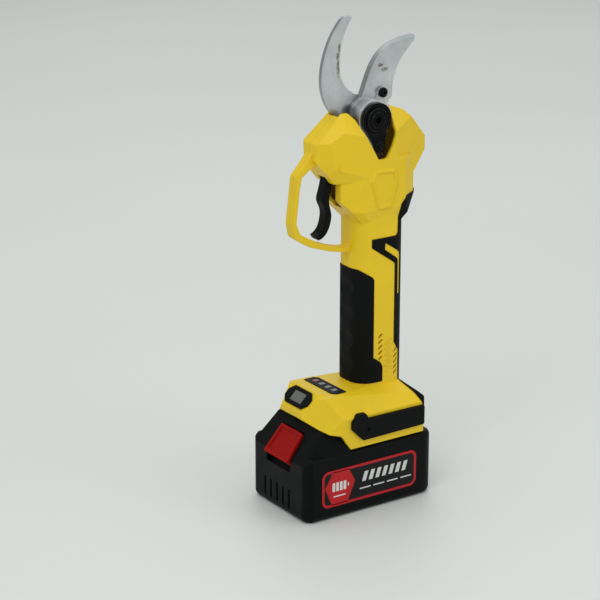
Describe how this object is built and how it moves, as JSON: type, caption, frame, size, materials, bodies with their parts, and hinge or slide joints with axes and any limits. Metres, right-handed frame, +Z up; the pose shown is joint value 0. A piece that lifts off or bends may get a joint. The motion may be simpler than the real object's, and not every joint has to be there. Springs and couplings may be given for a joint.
{
  "type": "battery electric pruner",
  "caption": "Cordless pruner: hooked fixed blade, motor-driven curved blade, faceted housing with trigger guard, gripped handle and slide-on battery.",
  "frame": {"origin": "centre of the battery's flat underside", "axes": "+Z up the tool to the blades, -X to the front (trigger side), -Y to the left (lock plate side)"},
  "size_m": [0.1269, 0.0794, 0.3645],
  "materials": {
    "yellow_plastic": "fine moulded texture",
    "black_rubber": "soft matte overmould",
    "black_plastic": "fine moulded texture",
    "battery_plastic": "moulded, satin",
    "red_plastic": "satin",
    "blade_steel": "ground, with sap stains",
    "turned_steel": "turned",
    "black_steel": "black oxide",
    "zinc_steel": "zinc plated",
    "aluminium": "cast and machined",
    "bronze": "sintered",
    "motor_metal": "satin",
    "lamination": "stacked laminations",
    "circuit_board": "solder mask",
    "wire": "silicone insulation",
    "contact_metal": "plated",
    "screen": "clear over grey",
    "lens": "translucent",
    "label": "printed film",
    "cell": "shrink sleeve"
  },
  "bodies": {
    "housing_body": {"housing_left": "yellow_plastic", "housing_right": "yellow_plastic", "front_grip_left": "black_rubber", "front_grip_right": "black_rubber", "back_grip_left": "black_rubber", "back_grip_right": "black_rubber", "bumper_left": "black_plastic", "bumper_right": "black_plastic", "terminal_block": "black_plastic", "display_bezel": "black_plastic", "indicator_strip": "black_plastic", "motor_end_cap": "black_plastic", "fixed_blade": "blade_steel", "ring_gear": "turned_steel", "pinion_bearings": "turned_steel", "motor_bearings": "turned_steel", "pivot_bolt": "black_steel", "lock_plate": "black_steel", "lock_plate_screw": "black_steel", "pivot_nut": "black_steel", "gear_case_screws": "black_steel", "fixed_blade_screws": "black_steel", "housing_screws": "zinc_steel", "trigger_pin": "zinc_steel", "trigger_spring": "zinc_steel", "gear_case": "aluminium", "gear_case_cover": "aluminium", "motor_can": "motor_metal", "motor_stator": "lamination", "control_board": "circuit_board", "trigger_sensor_board": "circuit_board", "motor_leads": "wire", "tool_terminals": "contact_metal", "display_window": "screen", "indicator_lenses": "lens"},
    "moving_blade_body": {"moving_blade": "blade_steel", "sector_gear": "turned_steel", "drive_screw": "black_steel", "pivot_bush": "bronze"},
    "pinion_body": {"bevel_pinion": "turned_steel", "planet_carrier": "turned_steel"},
    "planet_1_body": {"planet_gear_1": "turned_steel"},
    "planet_2_body": {"planet_gear_2": "turned_steel"},
    "planet_3_body": {"planet_gear_3": "turned_steel"},
    "rotor_body": {"motor_rotor": "lamination", "motor_shaft": "turned_steel", "sun_gear": "turned_steel"},
    "trigger_body": {"trigger": "black_plastic", "trigger_magnet": "lamination"},
    "battery_body": {"battery_case_lower": "battery_plastic", "battery_case_upper": "battery_plastic", "battery_case_screws": "zinc_steel", "battery_labels": "label", "battery_cells": "cell", "cell_holder": "black_plastic", "battery_board": "circuit_board", "battery_contacts": "contact_metal", "latch_spring": "zinc_steel"},
    "button_body": {"battery_button": "red_plastic"}
  },
  "joints": [
    {"name": "blade_pivot", "type": "hinge", "parent": "housing_body", "child": "moving_blade_body", "pos_m": [0.017, 0, 0.2905], "axis": [0, -1, 0], "range_deg": [0, 48]},
    {"name": "pinion_spin", "type": "hinge", "parent": "housing_body", "child": "pinion_body", "pos_m": [0.017, 0, 0.25], "axis": [0, 0, 1], "range_deg": [-2, 194]},
    {"name": "planet_1_spin", "type": "hinge", "parent": "pinion_body", "child": "planet_1_body", "pos_m": [0.02375, 0, 0.2327], "axis": [0, 0, 1], "range_deg": [-539.6, 2]},
    {"name": "planet_2_spin", "type": "hinge", "parent": "pinion_body", "child": "planet_2_body", "pos_m": [0.01362, 0.00585, 0.2327], "axis": [0, 0, 1], "range_deg": [-539.6, 2]},
    {"name": "planet_3_spin", "type": "hinge", "parent": "pinion_body", "child": "planet_3_body", "pos_m": [0.01362, -0.00585, 0.2327], "axis": [0, 0, 1], "range_deg": [-539.6, 2]},
    {"name": "rotor_spin", "type": "hinge", "parent": "housing_body", "child": "rotor_body", "pos_m": [0.017, 0, 0.206], "axis": [0, 0, 1], "range_deg": [-2, 866]},
    {"name": "trigger_pivot", "type": "hinge", "parent": "housing_body", "child": "trigger_body", "pos_m": [-0.0135, 0, 0.2595], "axis": [0, -1, 0], "range_deg": [0, 14], "stiffness_Nm_per_rad": 0.12, "springref_deg": -20.05, "deforming": ["trigger_spring"]},
    {"name": "battery_slide", "type": "slide", "parent": "housing_body", "child": "battery_body", "axis": [-1, 0, 0], "range_m": [0, 0.09]},
    {"name": "battery_release", "type": "slide", "parent": "battery_body", "child": "button_body", "axis": [0.7741, 0, -0.6331], "range_m": [0, 0.0035], "stiffness_N_per_m": 900, "springref_m": -0.002, "deforming": ["latch_spring"]}
  ],
  "couplings": [
    {"joint": "pinion_spin", "follows": "blade_pivot", "ratio": 4},
    {"joint": "planet_1_spin", "follows": "blade_pivot", "ratio": -11.2},
    {"joint": "planet_2_spin", "follows": "blade_pivot", "ratio": -11.2},
    {"joint": "planet_3_spin", "follows": "blade_pivot", "ratio": -11.2},
    {"joint": "rotor_spin", "follows": "blade_pivot", "ratio": 18}
  ]
}
